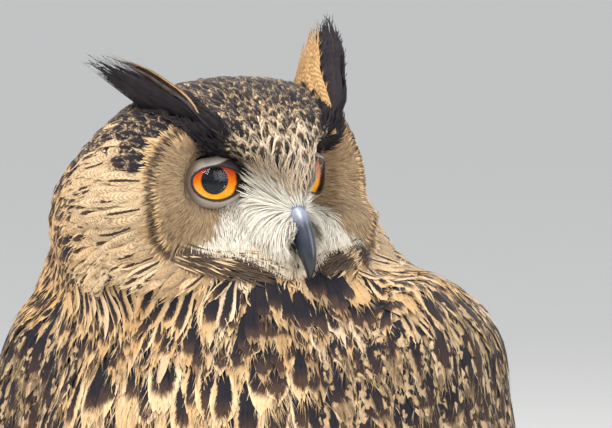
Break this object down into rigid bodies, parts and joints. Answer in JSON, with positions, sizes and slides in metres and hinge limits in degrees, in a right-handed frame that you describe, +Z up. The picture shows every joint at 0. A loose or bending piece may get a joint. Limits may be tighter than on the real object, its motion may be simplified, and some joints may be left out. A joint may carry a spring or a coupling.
{
  "type": "eurasian eagle-owl",
  "caption": "Life-size Eurasian eagle-owl that stands upright on its feathered feet with its head turned over its left shoulder; orange eyes, raised ear tufts and streaked plumage.",
  "frame": {"origin": "on the floor, under the middle of the bird's box", "axes": "+Z up, -Y the way the breast faces, +X towards the bird's left; the head is turned 61 degrees from -Y towards +X"},
  "size_m": [0.3014, 0.2884, 0.5903],
  "materials": {
    "plumage": "soft buff feathers with black-brown streaks",
    "dark_plumage": "blue-black to dark brown feathers with mottled buff edges",
    "horn": "polished slate-black horn",
    "eye": "clear cornea over an orange iris"
  },
  "bodies": {
    "root": {"bill_lower": "horn", "bill_upper": "horn", "claw_left_hind": "horn", "claw_left_inner": "horn", "claw_left_middle": "horn", "claw_left_outer": "horn", "claw_right_hind": "horn", "claw_right_inner": "horn", "claw_right_middle": "horn", "claw_right_outer": "horn", "ear_tuft_left": "dark_plumage", "ear_tuft_right": "dark_plumage", "eye_left": "eye", "eye_right": "eye", "foot_left": "plumage", "foot_right": "plumage", "head": "plumage", "neck": "plumage", "shank_left": "plumage", "shank_right": "plumage", "tail": "dark_plumage", "thigh_left": "plumage", "thigh_right": "plumage", "trunk": "plumage", "wing_left": "dark_plumage", "wing_right": "dark_plumage"}
  },
  "joints": []
}
